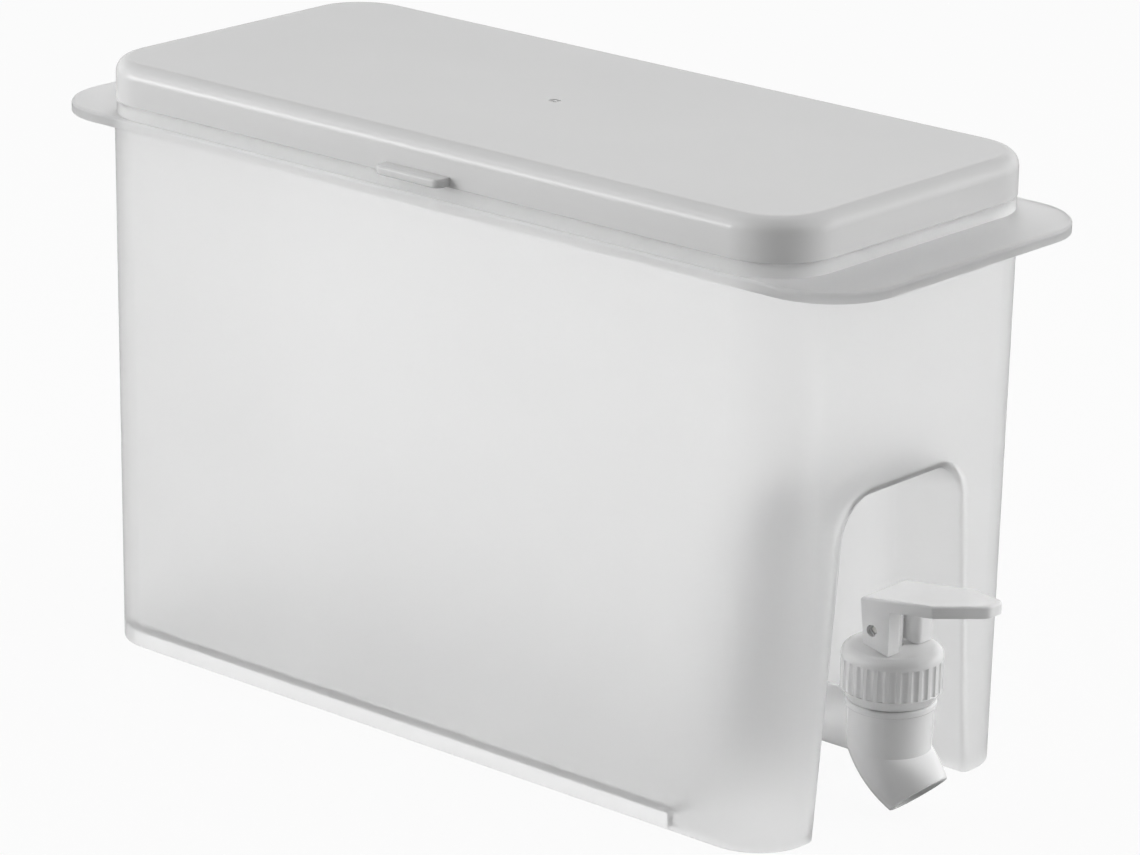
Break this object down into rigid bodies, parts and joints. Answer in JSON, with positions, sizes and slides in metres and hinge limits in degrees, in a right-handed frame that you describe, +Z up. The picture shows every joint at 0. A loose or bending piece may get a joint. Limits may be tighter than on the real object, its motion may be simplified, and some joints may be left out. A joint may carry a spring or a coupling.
{
  "type": "fridge water jug with tap",
  "caption": "Long narrow translucent water tank for a fridge shelf, with a lift-off lid, carrying tabs at its ends and a push-down lever tap in an arched recess.",
  "frame": {"origin": "middle of the tank's foot rim, on the surface that the jug stands on", "axes": "+X along the tank towards the tap end, +Y across the tank, +Z up"},
  "size_m": [0.2863, 0.115, 0.165],
  "materials": {
    "tank_plastic": "frosted translucent polypropylene, injection moulded",
    "lid_plastic": "milky polypropylene, injection moulded, satin",
    "tap_plastic": "white moulded plastic, semi-gloss",
    "silicone": "milky silicone rubber",
    "pin_steel": "plain steel pin"
  },
  "bodies": {
    "tank": {"tank": "tank_plastic", "tap_body": "tap_plastic", "bonnet": "tap_plastic", "outer_washer": "silicone", "inner_washer": "silicone", "lock_nut": "tap_plastic"},
    "lid": {"lid": "lid_plastic"},
    "seat_cup": {"seat_cup": "silicone"},
    "valve_stem": {"valve_stem": "tap_plastic", "lever_pin": "pin_steel"},
    "lever": {"lever": "tap_plastic"}
  },
  "joints": [
    {"name": "lid_lift", "type": "slide", "parent": "tank", "child": "lid", "axis": [0, 0, 1], "range_m": [0, 0.08]},
    {"name": "valve_lift", "type": "slide", "parent": "tank", "child": "seat_cup", "axis": [0, 0, 1], "range_m": [0, 0.00148], "stiffness_N_per_m": 2200, "springref_m": -0.0014, "deforming": ["seat_cup"]},
    {"name": "stem_swivel", "type": "hinge", "parent": "seat_cup", "child": "valve_stem", "pos_m": [0.117, 0, 0.0501], "axis": [0, 0, 1], "range_deg": [-60, 60]},
    {"name": "lever_tilt", "type": "hinge", "parent": "valve_stem", "child": "lever", "pos_m": [0.117, 0, 0.0501], "axis": [0, 1, 0], "range_deg": [0, 18]}
  ],
  "couplings": [
    {"joint": "lever_tilt", "follows": "valve_lift", "rad_per_m": 212.77}
  ]
}
